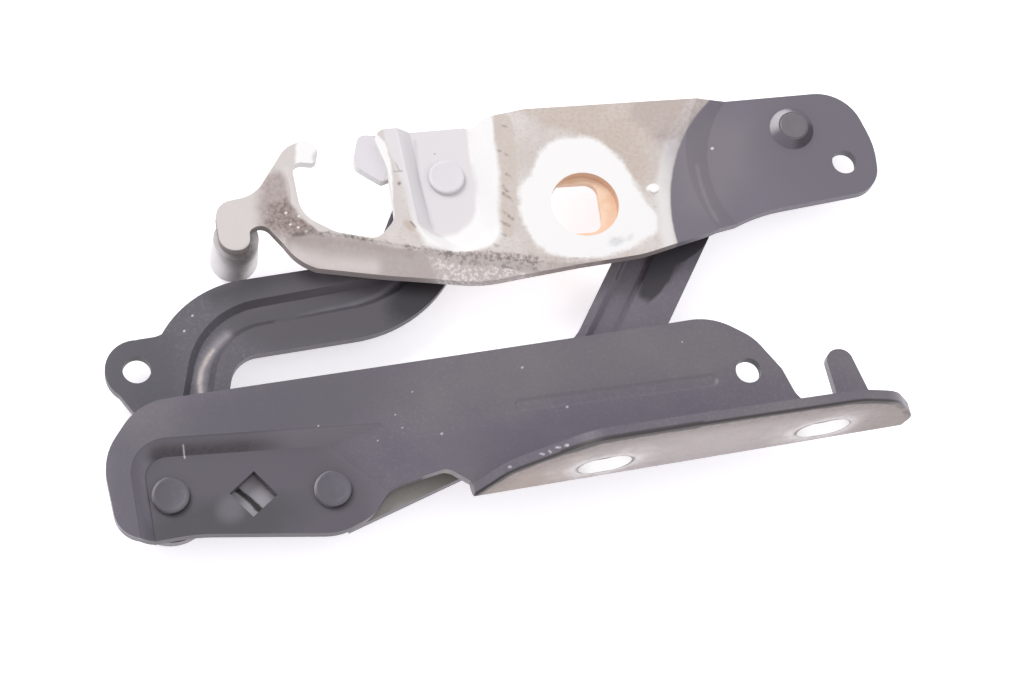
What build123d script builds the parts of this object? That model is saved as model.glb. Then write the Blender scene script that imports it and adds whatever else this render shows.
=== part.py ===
from build123d import *
from math import atan2, cos, degrees, radians, sin, tan
import os

# Bonnet hinge for a car: two pressed brackets joined by two links.
# The hinge lies with its pivots upright. Z points out of the plates towards the side that the
# flange stands on, X runs along the flange, and the origin is the centre of the body bolt
# hole, on the front face of the body bracket. All sizes are in millimetres.

outside = 200.0          # distance that reaches past every edge of the hinge, for blanks and cutters
body_right = 108.6       # right-hand end of the body bracket's outline
bonnet_left = 175.6      # left-hand end of the bonnet bracket's outline

# Sheet metal
sheet_t = 4.0            # body bracket and bonnet bracket
link_t = 4.0             # both links
press_depth = 5.0        # how far the pivot areas are pressed back
press_slope = 45.0       # angle of the pressed walls

# Pivots: body bracket to swan neck link, body bracket to channel link,
# bonnet bracket to swan neck link, bonnet bracket to channel link
pivot_swan_body = (-44.2, 18.7)
pivot_channel_body = (body_right - 28.0, 18.8)
pivot_swan_bonnet = (-bonnet_left + 19.7, -77.7)
pivot_channel_bonnet = (pivot_swan_bonnet[0] + 52.0, pivot_swan_bonnet[1] - 6.7)

# Rivets, bushes and washers
shaft_r = 5.0
front_head_r = 6.2
front_head_h = 1.9
rear_head_r = 10.0
rear_head_h = 8.0
front_head_edge_r = 0.8
rear_head_edge_r = 2.2
bush_wall = 1.0
thrust_washer_r = 9.0
thrust_washer_t = 1.5
rear_washer_r = 11.5
rear_washer_t = 2.0
seat_gap = 0.02          # radial gap of pieces that are pressed or riveted together
running_gap = 0.05       # radial gap between a rivet shaft and its bush
side_play = 0.15         # gap on each face of a link
slack_shaft_r = 3.0      # thinner rivet of the pivot between bonnet bracket and channel link
slack_travel = 4.5       # room for that rivet inside the channel link
slack_cover = 2.2        # how far its washers reach past the room
slack_wall = 3.4         # rim of the channel link round the room

# Body bracket
body_hole_r = 11.75
tool_hole_r = 4.4
tool_hole_body = (body_right - 12.3, 3.6)
lip_slope = 20.0
end_slope = 30.0         # gentle wall of the recessed right-hand end
collar_base_r = 7.9
collar_top_r = 5.3
collar_h = 2.8
collar_proud = 0.4       # how far the rivet's end stands out of its collar
lip_width = 12.5         # from the ridge down to the cut edge
lip_corner_r = 5.0

# Backing plate welded behind the body bolt hole, with a square window
backing_size = (36.0, 31.0)
backing_at = (-3.0, 0.5)
backing_corner_r = 7.0
backing_t = 2.5
window_side = 18.5
window_corner_r = 4.5
window_at = (-3.3, 0.5)
window_turn = -5.0

# Stop stud with its tapered sleeve, on the left lug
stud_at = (-119.0, 7.4)
stud_r = 4.0
stud_head_r = 6.0
stud_head_h = 2.0
stud_chamfer = 0.6
sleeve_front_r = 7.6
sleeve_rear_r = 8.3
sleeve_edge_r = 0.8

# Bonnet bracket and its flange
flange_face_y = -96.1
bend_inner_r = 1.5
slot_x = (-17.5, 57.5)
slot_z = 12.0
slot_length = 18.0
slot_r = 7.0
square_hole_side = 11.0
square_hole_at = (pivot_swan_bonnet[0] + 26.4, pivot_swan_bonnet[1] - 3.6)
square_hole_turn = 34.0
tool_hole_bonnet = (41.5, -68.2)
stiffener_from = (-40.0, -67.5)
stiffener_to = (30.5, -69.6)
stiffener_width = 5.0
stiffener_depth = 0.4
stiffener_slope = 20.0
recess_turn = 40.0       # direction in which the recess rises back to the blank
recess_flat = 10.9       # its floor stays flat this far past the right-hand pivot
recess_rise = 16.0       # length of the rise

# Links
swan_width = 27.0
swan_bend = ((-66.0, -18.0), (pivot_swan_bonnet[0] + 19.9, -18.5))
swan_bend_r = (34.0, 24.0)
swan_end_r = 13.8
eyelet_at = (pivot_swan_bonnet[0] - 2.9, -30.9)
eyelet_r = 10.5
eyelet_hole_r = 4.7
channel_width = 26.4
channel_bend = ((-4.4, -56.0), (42.3, 6.3))
channel_bend_r = (28.0, 28.0)
channel_end_r = 14.0
groove_depth = 2.4
groove_width = 9.5
groove_slope = 50.0
groove_end = 19.5        # from the pivot to the end of the groove's path
channel_groove_stop = 5.0
swan_groove_bend = ((0.0, 2.4), (4.0, 0.6))      # how far the groove's bends lie off the arm's
swan_groove_tail = (3.6, 0.8)
channel_groove_shift = (-4.6, 3.4)

# Levels along Z, from the front faces backwards
pressed_back = -press_depth - sheet_t
link_front = pressed_back - thrust_washer_t - side_play
link_back = link_front - link_t
rear_washer_top = link_back - side_play
rear_washer_back = rear_washer_top - rear_washer_t
foot_level = rear_washer_back - rear_head_h
bend_outer_r = bend_inner_r + sheet_t
bend_start_y = flange_face_y + bend_outer_r


def from_point(point, rows):
    """Outline corners given as distances from a point."""
    return [(point[0] + x, point[1] + y, r) for x, y, r in rows]


# Outline corners: (x, y, corner radius), walking round each blank
BODY_OUTLINE = [
    (-67.2, 38.3, 4.0), (-34.0, 36.4, 1.5), (-31.5, 35.2, 1.5), (-25.0, 37.4, 4.0),
    (-13.0, 38.2, 15.0), (49.4, 33.2, 60.0), (body_right - 5.1, 30.3, 16.0), (body_right, 8.0, 30.0),
    (body_right - 2.3, -8.4, 10.0), (62.0, -10.3, 60.0), (42.0, -16.8, 40.0), (16.0, -21.2, 40.0),
    (-40.0, -21.6, 50.0), (-72.0, -13.6, 40.0), (-100.0, -5.6, 16.0), (-109.5, 10.2, 4.0),
    *from_point(stud_at, [(4.5, 0.8, 2.0), (3.6, -5.8, 4.0), (-6.2, -5.6, 5.5), (-5.6, 12.0, 6.0)]),
    (-110.5, 20.4, 12.0), (-97.5, 36.0, 8.0), (-90.3, 38.3, 3.5), (-86.1, 34.4, 3.0),
    (-87.9, 28.7, 2.2), (-96.2, 30.8, 3.0), (-96.4, 11.0, 11.0), (-86.0, 3.0, 12.0),
    (-72.5, -1.6, 5.0), (-65.3, 4.6, 7.0), (-64.2, 23.0, 20.0),
]
LIP_RIDGE = [
    (-112.0, -30.0), (-103.5, 3.0), (-97.8, 6.3), (-82.0, 1.0), (-59.0, -7.0), (-20.0, -18.3), (6.0, -24.0),
]
POCKET = [
    (-58.5, outside, 0.0), (-58.0, -1.0, 10.0), (-47.0, -12.5, 9.0), (-31.5, -9.5, 9.0),
    (-28.3, 30.0, 0.0), (-28.3, outside, 0.0),
]
RECESSED_END_CENTRE = (pivot_channel_body[0] + 4.0, 5.0)
RECESSED_END_R = 46.0
CATCH_TAB = [
    (-63.4, 37.0, 0.5), (-71.3, 38.6, 3.0), (-75.2, 28.0, 4.0), (-70.8, 23.8, 3.0), (-66.6, 20.2, 1.5),
    (-63.4, 21.0, 0.5),
]
CATCH_TAB_DROP = 3.2

BONNET_OUTLINE = from_point(pivot_swan_bonnet, [
    (-5.2, 31.7, 20.0), (-19.7, 15.2, 20.0), (-18.9, -14.2, 10.0), (6.0, -13.8, 60.0),
]) + [
    (-104.0, -99.2, 20.0), (-93.0, -95.4, 14.0), (-84.6, -86.6, 12.0), (-66.0, -85.0, 5.0),
    (-59.6, bend_start_y, 2.0), (91.0, bend_start_y, 0.0), (91.0, -86.0, 2.0), (81.0, -83.5, 3.0),
    (77.4, -66.0, 4.5), (69.0, -65.4, 4.0), (69.6, -86.5, 4.0), (61.0, -86.5, 4.0),
    (55.5, -79.0, 8.0), (53.0, -69.5, 3.0), (46.0, -56.8, 18.0), (33.5, -47.2, 22.0),
    (10.0, -47.3, 60.0),
]
RECESS = from_point(pivot_swan_bonnet, [
    (-16.6, -outside, 0.0), (-11.5, 19.7, 12.0), (94.0, 9.6, 0.0), (94.0, -outside, 0.0),
])
FLANGE_PROFILE = [
    (-59.6, -10.0, 0.0), (-59.6, 1.5, 4.0), (-50.3, 20.6, 16.0), (-26.0, 38.6, 20.0), (8.0, 38.0, 90.0),
    (66.0, 34.9, 16.0), (80.5, 27.0, 16.0), (90.0, 9.0, 10.0), (86.0, -10.0, 0.0),
]
SWAN_WEB = from_point(eyelet_at, [
    (1.8, 10.5, 0.0), (9.8, 10.5, 9.0), (21.2, 18.7, 0.0), (27.8, 23.3, 0.0), (24.8, -31.1, 0.0),
    (-2.2, -17.1, 6.0), (-7.7, -6.6, 0.0),
])


def corners(rows):
    """Closed outline through the corner points, each rounded by its own radius."""
    points = [(x, y) for x, y, _ in rows]
    FilletPolyline(*points, radius=[r for _, _, r in rows], close=True)


def pressed_region(rows, depth, slope):
    """Solid of a pressed hollow: full size at the front face, smaller at its floor."""
    with BuildPart() as hollow:
        with BuildSketch():
            with BuildLine():
                corners(rows)
            make_face()
        extrude(amount=-depth, taper=90.0 - slope)
    return hollow.part


def groove_tool(points, radii, top):
    """Solid of a rounded-end groove along a path, to be cut from a link's front face."""
    narrow = groove_width / 2 - groove_depth / tan(radians(groove_slope))
    with BuildPart() as groove:
        with BuildLine(Plane.XY.offset(top)) as path:
            FilletPolyline(*points, radius=radii)
        start = path.line @ 0
        along = path.line % 0
        with BuildSketch(Plane(origin=start, x_dir=(-along.Y, along.X, 0), z_dir=along)):
            Polygon(
                (-groove_width / 2, 0),
                (groove_width / 2, 0),
                (narrow, -groove_depth),
                (-narrow, -groove_depth),
                align=None,
            )
        sweep(path=path.line)
        for end in (0, 1):
            with Locations((path.line @ end) - Vector(0, 0, groove_depth / 2)):
                Cone(narrow, groove_width / 2, groove_depth)
    return groove.part


def short_of(point, target, distance):
    """The point that lies a distance from point on the way to target."""
    angle = atan2(target[1] - point[1], target[0] - point[0])
    return (point[0] + distance * cos(angle), point[1] + distance * sin(angle))


def save(piece, name):
    """Label a finished piece and write it as a STEP file."""
    piece.part.label = name
    export_step(piece.part, f"parts/{name}.step")


os.makedirs("parts", exist_ok=True)

# Body bracket: a flat blank, pressed back round both its pivots and along its lower lip
lip_drop = lip_width * tan(radians(lip_slope))
lip_region = LIP_RIDGE + [(LIP_RIDGE[-1][0], -outside), (LIP_RIDGE[0][0], -outside)]
lip_radii = [0.0] + [lip_corner_r] * (len(LIP_RIDGE) - 2) + [0.0, 0.0, 0.0]
lip_rows = [(x, y, r) for (x, y), r in zip(lip_region, lip_radii)]
body_pressings = [
    pressed_region(POCKET, press_depth, press_slope),
    pressed_region(lip_rows, lip_drop, lip_slope),
]
with BuildPart() as recessed_end:
    with Locations((*RECESSED_END_CENTRE, -press_depth / 2)):
        Cone(RECESSED_END_R - press_depth / tan(radians(end_slope)), RECESSED_END_R, press_depth)
body_pressings.append(recessed_end.part)

with BuildPart() as body_bracket:
    with BuildSketch():
        Rectangle(2 * outside, 2 * outside)
    extrude(amount=-sheet_t)
    for pressing in body_pressings:
        add(pressing.moved(Location((0, 0, -sheet_t))))
    for pressing in body_pressings:
        add(pressing, mode=Mode.SUBTRACT)
    with BuildSketch() as body_blank:
        with BuildLine():
            corners(BODY_OUTLINE)
        make_face()
    extrude(amount=outside, both=True, mode=Mode.INTERSECT)
    # Catch tab bent back inside the mouth of the C-shaped opening
    with BuildSketch(Plane.XY.offset(-sheet_t - CATCH_TAB_DROP)):
        with BuildLine():
            corners(CATCH_TAB)
        make_face()
    extrude(amount=sheet_t)
    # Raised collar round the channel link's rivet
    with Locations((*pivot_channel_body, -press_depth + collar_h / 2)):
        Cone(collar_base_r, collar_top_r, collar_h)
    for x, y in (pivot_swan_body, pivot_channel_body):
        with Locations((x, y)):
            Cylinder(shaft_r + seat_gap, outside, mode=Mode.SUBTRACT)
    with Locations((0, 0)):
        Cylinder(body_hole_r, outside, mode=Mode.SUBTRACT)
    with Locations(tool_hole_body):
        Cylinder(tool_hole_r, outside, mode=Mode.SUBTRACT)
save(body_bracket, "body_bracket")

# Backing plate: its window is smaller than the bolt hole in front of it
with BuildPart() as backing_plate:
    with BuildSketch(Plane.XY.offset(-sheet_t - backing_t)):
        with Locations(backing_at):
            RectangleRounded(*backing_size, backing_corner_r)
        with Locations(Location((*window_at, 0), (0, 0, window_turn))):
            RectangleRounded(window_side, window_side, window_corner_r, mode=Mode.SUBTRACT)
    extrude(amount=backing_t)
save(backing_plate, "backing_plate")

# Stop stud welded behind the left lug, and the sleeve that the swan neck link closes against
with BuildPart() as stop_stud:
    with BuildSketch(Plane.XY.offset(foot_level)):
        with Locations(stud_at):
            Circle(stud_head_r)
    extrude(amount=stud_head_h)
    with BuildSketch(Plane.XY.offset(foot_level)):
        with Locations(stud_at):
            Circle(stud_r)
    extrude(amount=-sheet_t - foot_level)
    chamfer(stop_stud.edges().filter_by(GeomType.CIRCLE).sort_by(Axis.Z)[0], stud_chamfer)
save(stop_stud, "stop_stud")

sleeve_length = -sheet_t - foot_level - stud_head_h
with BuildPart() as stop_sleeve:
    with Locations((*stud_at, -sheet_t - sleeve_length / 2)):
        Cone(sleeve_rear_r, sleeve_front_r, sleeve_length)
        Cylinder(stud_r + seat_gap, sleeve_length, mode=Mode.SUBTRACT)
    fillet(stop_sleeve.edges().filter_by(GeomType.CIRCLE).group_by(SortBy.RADIUS)[-1], sleeve_edge_r)
save(stop_sleeve, "stop_sleeve")

# Bonnet bracket: a blank with one recess for both pivots, and a flange bent up along its lower edge
stiffener_turn = degrees(atan2(stiffener_to[1] - stiffener_from[1], stiffener_to[0] - stiffener_from[0]))
stiffener_length = Vector(*stiffener_from).sub(Vector(*stiffener_to)).length
with BuildPart() as recess:
    add(pressed_region(RECESS, press_depth, press_slope))
    # Past the right-hand pivot the floor of the recess rises gently, on a slant
    rise_x = cos(radians(recess_turn))
    rise_y = sin(radians(recess_turn))
    rise_plane = Plane(origin=pivot_channel_bonnet, x_dir=(rise_x, rise_y, 0), z_dir=(rise_y, -rise_x, 0))
    with BuildSketch(rise_plane):
        Polygon(
            (-outside, 0),
            (-outside, -press_depth),
            (recess_flat, -press_depth),
            (recess_flat + recess_rise, 0),
            align=None,
        )
    extrude(amount=outside, both=True, mode=Mode.INTERSECT)
with BuildPart() as stiffener:
    with BuildSketch():
        with Locations(Location(((stiffener_from[0] + stiffener_to[0]) / 2,
                                 (stiffener_from[1] + stiffener_to[1]) / 2, 0), (0, 0, stiffener_turn))):
            SlotOverall(stiffener_length, stiffener_width)
    extrude(amount=-stiffener_depth, taper=90.0 - stiffener_slope)

with BuildPart() as bonnet_bracket:
    with BuildSketch():
        Rectangle(2 * outside, 2 * outside)
    extrude(amount=-sheet_t)
    add(recess.part.moved(Location((0, 0, -sheet_t))))
    add(recess.part, mode=Mode.SUBTRACT)
    add(stiffener.part.moved(Location((0, 0, -sheet_t))))
    add(stiffener.part, mode=Mode.SUBTRACT)
    with BuildSketch():
        with BuildLine():
            corners(BONNET_OUTLINE)
        make_face()
    extrude(amount=outside, both=True, mode=Mode.INTERSECT)

# The flange with its bend, cut to its own side view
with BuildPart() as flange:
    with BuildSketch(Plane.YZ):
        with BuildLine():
            Polyline((bend_start_y, 0), (bend_start_y, -sheet_t))
            RadiusArc((bend_start_y, -sheet_t), (flange_face_y, bend_inner_r), bend_outer_r)
            Polyline((flange_face_y, bend_inner_r), (flange_face_y, outside),
                     (flange_face_y + sheet_t, outside), (flange_face_y + sheet_t, bend_inner_r))
            RadiusArc((flange_face_y + sheet_t, bend_inner_r), (bend_start_y, 0), -bend_inner_r)
        make_face()
    extrude(amount=outside, both=True)
    with BuildSketch(Plane.XZ):
        with BuildLine():
            corners(FLANGE_PROFILE)
        make_face()
    extrude(amount=outside, both=True, mode=Mode.INTERSECT)
    with BuildSketch(Plane.XZ):
        for x in slot_x:
            with Locations((x, slot_z)):
                SlotOverall(slot_length, 2 * slot_r)
    extrude(amount=outside, both=True, mode=Mode.SUBTRACT)

with bonnet_bracket:
    add(flange.part)
    for x, y in (pivot_swan_bonnet, pivot_channel_bonnet):
        radius = shaft_r if (x, y) == pivot_swan_bonnet else slack_shaft_r
        with Locations((x, y)):
            Cylinder(radius + seat_gap, outside, mode=Mode.SUBTRACT)
    with Locations(tool_hole_bonnet):
        Cylinder(tool_hole_r, outside, mode=Mode.SUBTRACT)
    with BuildSketch():
        with Locations(Location((*square_hole_at, 0), (0, 0, square_hole_turn))):
            Rectangle(square_hole_side, square_hole_side)
    extrude(amount=-outside, mode=Mode.SUBTRACT)
save(bonnet_bracket, "bonnet_bracket")

# Swan neck link: an arm of even width with a double bend, an eyelet and a pressed groove
bush_r = shaft_r + running_gap + bush_wall
swan_points = [pivot_swan_body, *swan_bend, pivot_swan_bonnet]
groove_bends = [(x + dx, y + dy) for (x, y), (dx, dy) in zip(swan_bend, swan_groove_bend)]
groove_tail = short_of(pivot_swan_bonnet, swan_bend[1], groove_end)
swan_groove_points = [
    short_of(pivot_swan_body, swan_bend[0], groove_end),
    *groove_bends,
    (groove_tail[0] + swan_groove_tail[0], groove_tail[1] + swan_groove_tail[1]),
]
swan_groove = groove_tool(swan_groove_points, list(swan_bend_r), link_front)
with BuildPart() as swan_neck_link:
    with BuildSketch(Plane.XY.offset(link_back)):
        with BuildLine() as swan_line:
            FilletPolyline(*swan_points, radius=list(swan_bend_r))
        trace(lines=swan_line.line, line_width=swan_width)
        for x, y in (pivot_swan_body, pivot_swan_bonnet):
            with Locations((x, y)):
                Circle(swan_end_r)
        with Locations(eyelet_at):
            Circle(eyelet_r)
        with BuildLine():
            corners(SWAN_WEB)
        make_face()
    extrude(amount=link_t)
    add(swan_groove.moved(Location((0, 0, -link_t))))
    add(swan_groove, mode=Mode.SUBTRACT)
    for x, y in (pivot_swan_body, pivot_swan_bonnet):
        with Locations((x, y)):
            Cylinder(bush_r + seat_gap, outside, mode=Mode.SUBTRACT)
    with Locations(eyelet_at):
        Cylinder(eyelet_hole_r, outside, mode=Mode.SUBTRACT)
save(swan_neck_link, "swan_neck_link")

# Channel link: the same make, with a shorter groove and a roomy hole at the bonnet end
slack_bush_r = slack_shaft_r + seat_gap + bush_wall
slack_hole_r = slack_bush_r + slack_travel
channel_points = [pivot_channel_body, channel_bend[1], channel_bend[0], pivot_channel_bonnet]
channel_groove_start = short_of(pivot_channel_body, channel_bend[1], groove_end)
channel_groove_end = short_of(channel_bend[0], channel_bend[1], channel_groove_stop)
channel_groove_points = [
    (x + channel_groove_shift[0], y + channel_groove_shift[1])
    for x, y in (channel_groove_start, channel_bend[1], channel_groove_end)
]
channel_groove = groove_tool(channel_groove_points, [channel_bend_r[1]], link_front)
with BuildPart() as channel_link:
    with BuildSketch(Plane.XY.offset(link_back)):
        with BuildLine() as channel_line:
            FilletPolyline(*channel_points, radius=list(channel_bend_r))
        trace(lines=channel_line.line, line_width=channel_width)
        with Locations(pivot_channel_body):
            Circle(channel_end_r)
        with Locations(pivot_channel_bonnet):
            Circle(slack_hole_r + slack_wall)
    extrude(amount=link_t)
    add(channel_groove.moved(Location((0, 0, -link_t))))
    add(channel_groove, mode=Mode.SUBTRACT)
    with Locations(pivot_channel_body):
        Cylinder(bush_r + seat_gap, outside, mode=Mode.SUBTRACT)
    with Locations(pivot_channel_bonnet):
        Cylinder(slack_hole_r, outside, mode=Mode.SUBTRACT)
save(channel_link, "channel_link")


def make_pivot(name, at, head_top, head_r, shaft, thrust_r, washer_r, bush_inner, bush_outer):
    """Rivet, bush, thrust washer and rear washer of one pivot."""
    with BuildPart() as rivet:
        with BuildSketch(Plane.XY.offset(head_top - front_head_h)):
            with Locations(at):
                Circle(head_r)
        extrude(amount=front_head_h)
        fillet(rivet.edges().filter_by(GeomType.CIRCLE).sort_by(Axis.Z)[-1], front_head_edge_r)
        with BuildSketch(Plane.XY.offset(rear_washer_back - rear_head_h)):
            with Locations(at):
                Circle(rear_head_r)
        extrude(amount=rear_head_h)
        fillet(rivet.edges().filter_by(GeomType.CIRCLE).sort_by(Axis.Z)[0], rear_head_edge_r)
        with BuildSketch(Plane.XY.offset(rear_washer_back)):
            with Locations(at):
                Circle(shaft)
        extrude(amount=head_top - front_head_h - rear_washer_back)
    save(rivet, f"{name}_rivet")

    with BuildPart() as bush:
        with BuildSketch(Plane.XY.offset(link_back)):
            with Locations(at):
                Circle(bush_outer)
                Circle(bush_inner, mode=Mode.SUBTRACT)
        extrude(amount=link_t)
    save(bush, f"{name}_bush")

    with BuildPart() as thrust_washer:
        with BuildSketch(Plane.XY.offset(pressed_back - thrust_washer_t)):
            with Locations(at):
                Circle(thrust_r)
                Circle(shaft + seat_gap, mode=Mode.SUBTRACT)
        extrude(amount=thrust_washer_t)
    save(thrust_washer, f"{name}_thrust_washer")

    with BuildPart() as rear_washer:
        with BuildSketch(Plane.XY.offset(rear_washer_back)):
            with Locations(at):
                Circle(washer_r)
                Circle(shaft + seat_gap, mode=Mode.SUBTRACT)
        extrude(amount=rear_washer_t)
    save(rear_washer, f"{name}_rear_washer")


floor_top = -press_depth + front_head_h
collar_top = -press_depth + collar_h + collar_proud
for name, at, head_top, head_r in (
    ("swan_body", pivot_swan_body, floor_top, front_head_r),
    ("channel_body", pivot_channel_body, collar_top, shaft_r),
    ("swan_bonnet", pivot_swan_bonnet, floor_top, front_head_r),
):
    make_pivot(
        name, at, head_top, head_r, shaft_r, thrust_washer_r, rear_washer_r, shaft_r + running_gap, bush_r,
    )
make_pivot(
    "channel_bonnet", pivot_channel_bonnet, floor_top, front_head_r, slack_shaft_r,
    slack_hole_r + slack_cover, slack_hole_r + slack_cover, slack_shaft_r + seat_gap, slack_bush_r,
)
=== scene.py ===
import logging
import math
from dataclasses import dataclass
from enum import Enum
from typing import Sequence, Union

import bpy
from mathutils import Matrix, Vector


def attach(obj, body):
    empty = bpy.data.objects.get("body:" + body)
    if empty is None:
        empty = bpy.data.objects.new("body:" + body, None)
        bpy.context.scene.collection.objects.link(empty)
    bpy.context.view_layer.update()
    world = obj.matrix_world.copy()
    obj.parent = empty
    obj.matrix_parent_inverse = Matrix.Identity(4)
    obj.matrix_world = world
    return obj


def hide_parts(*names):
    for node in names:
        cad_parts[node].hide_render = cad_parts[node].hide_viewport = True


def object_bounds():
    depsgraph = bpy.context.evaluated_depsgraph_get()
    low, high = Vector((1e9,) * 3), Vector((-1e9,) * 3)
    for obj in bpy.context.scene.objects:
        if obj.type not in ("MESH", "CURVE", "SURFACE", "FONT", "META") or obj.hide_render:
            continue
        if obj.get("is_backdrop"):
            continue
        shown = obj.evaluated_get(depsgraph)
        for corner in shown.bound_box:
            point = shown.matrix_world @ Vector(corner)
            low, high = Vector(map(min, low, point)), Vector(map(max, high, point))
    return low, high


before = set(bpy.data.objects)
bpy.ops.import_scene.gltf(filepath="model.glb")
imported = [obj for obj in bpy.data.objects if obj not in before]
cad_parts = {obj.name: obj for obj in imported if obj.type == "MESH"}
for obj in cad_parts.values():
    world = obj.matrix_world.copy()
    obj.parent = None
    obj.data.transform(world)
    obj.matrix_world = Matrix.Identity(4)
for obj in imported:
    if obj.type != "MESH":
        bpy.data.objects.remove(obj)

MM = 0.001
MM_PER_METRE = 1000.0
# Noise cells in a metre: fine dust, the grit that breaks up a layer, the ragged edge of a layer
DUST_CELLS = 900.0
GRIT_CELLS = 640.0
WOBBLE_CELLS = 170.0
# The noise runs about a quarter to each side of its middle, so this makes it reach one raggedness to each side
RAGGED_GAIN = 4.0
# Lengths and shares under this count as none
TINY = 1e-6
# Two directions whose cross product is under this never meet
PARALLEL = 1e-9
# Edges flatter than this are shaded smooth
SMOOTH_ANGLE = math.radians(38.0)
# How many times its own thickness a piece's cutter is long
CUTTER_LENGTH = 3.0
Colour = tuple[float, float, float]
Triple = tuple[float, float, float]
Point = tuple[float, float]
log = logging.getLogger("bonnet_hinge")


class Face(Enum):
    """Which faces of a pressed part a layer of finish lies on."""

    ANY = "any"
    FRONT = "front"
    EDGE = "edge"
    CONTACT = "contact"
    WALL = "wall"
    SHADED = "shaded"
    RIGHTWARD = "rightward"
    LIT = "lit"
    LEE = "lee"


class Signal:
    """A number that flows between shader nodes, on which Python operators add Math nodes."""

    def __init__(self, board: "Board", socket: bpy.types.NodeSocket) -> None:
        """Wrap a socket.

        Args:
            board: The material that the socket belongs to.
            socket: The output socket that carries the number.
        """
        self.board = board
        self.socket = socket

    def _math(self, operation: str, first: "Value", second: "Value" = 0.0) -> "Signal":
        """Add one Math node.

        Args:
            operation: The node's operation.
            first: Its first value.
            second: Its second value.

        Returns:
            The node's result.
        """
        made = self.board.node("ShaderNodeMath", {"operation": operation}, {0: first, 1: second})
        return Signal(self.board, made.outputs[0])

    def __add__(self, other: "Value") -> "Signal":
        """Sum."""
        return self._math("ADD", self, other)

    def __sub__(self, other: "Value") -> "Signal":
        """Difference."""
        return self._math("SUBTRACT", self, other)

    def __mul__(self, other: "Value") -> "Signal":
        """Product."""
        return self._math("MULTIPLY", self, other)

    def __truediv__(self, other: "Value") -> "Signal":
        """Quotient."""
        return self._math("DIVIDE", self, other)

    def __pow__(self, other: "Value") -> "Signal":
        """Power."""
        return self._math("POWER", self, other)

    def __neg__(self) -> "Signal":
        """Opposite."""
        return self._math("MULTIPLY", self, -1.0)

    def __abs__(self) -> "Signal":
        """Size without sign."""
        return self._math("ABSOLUTE", self)

    def either(self, other: "Value") -> "Signal":
        """The larger of the two, which joins two masks."""
        return self._math("MAXIMUM", self, other)

    def both(self, other: "Value") -> "Signal":
        """The smaller of the two, which keeps what two masks share."""
        return self._math("MINIMUM", self, other)

    def angle_to(self, across: "Signal") -> "Signal":
        """Angle of a point whose X is this signal and whose Y is the other, from -pi to pi."""
        return self._math("ARCTAN2", across, self)

    def ease(self, low: float, high: float, start: float = 0.0, end: float = 1.0) -> "Signal":
        """Smooth step from one level to another.

        Args:
            low: Where the step begins.
            high: Where the step ends.
            start: The result below the step.
            end: The result above the step.

        Returns:
            The stepped signal.
        """
        settings = {"interpolation_type": "SMOOTHSTEP"}
        made = self.board.node("ShaderNodeMapRange", settings, {0: self, 1: low, 2: high, 3: start, 4: end})
        return Signal(self.board, made.outputs[0])


Value = Union[float, Signal]
Input = Union[float, Sequence[float], Signal, bpy.types.NodeSocket]


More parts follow.
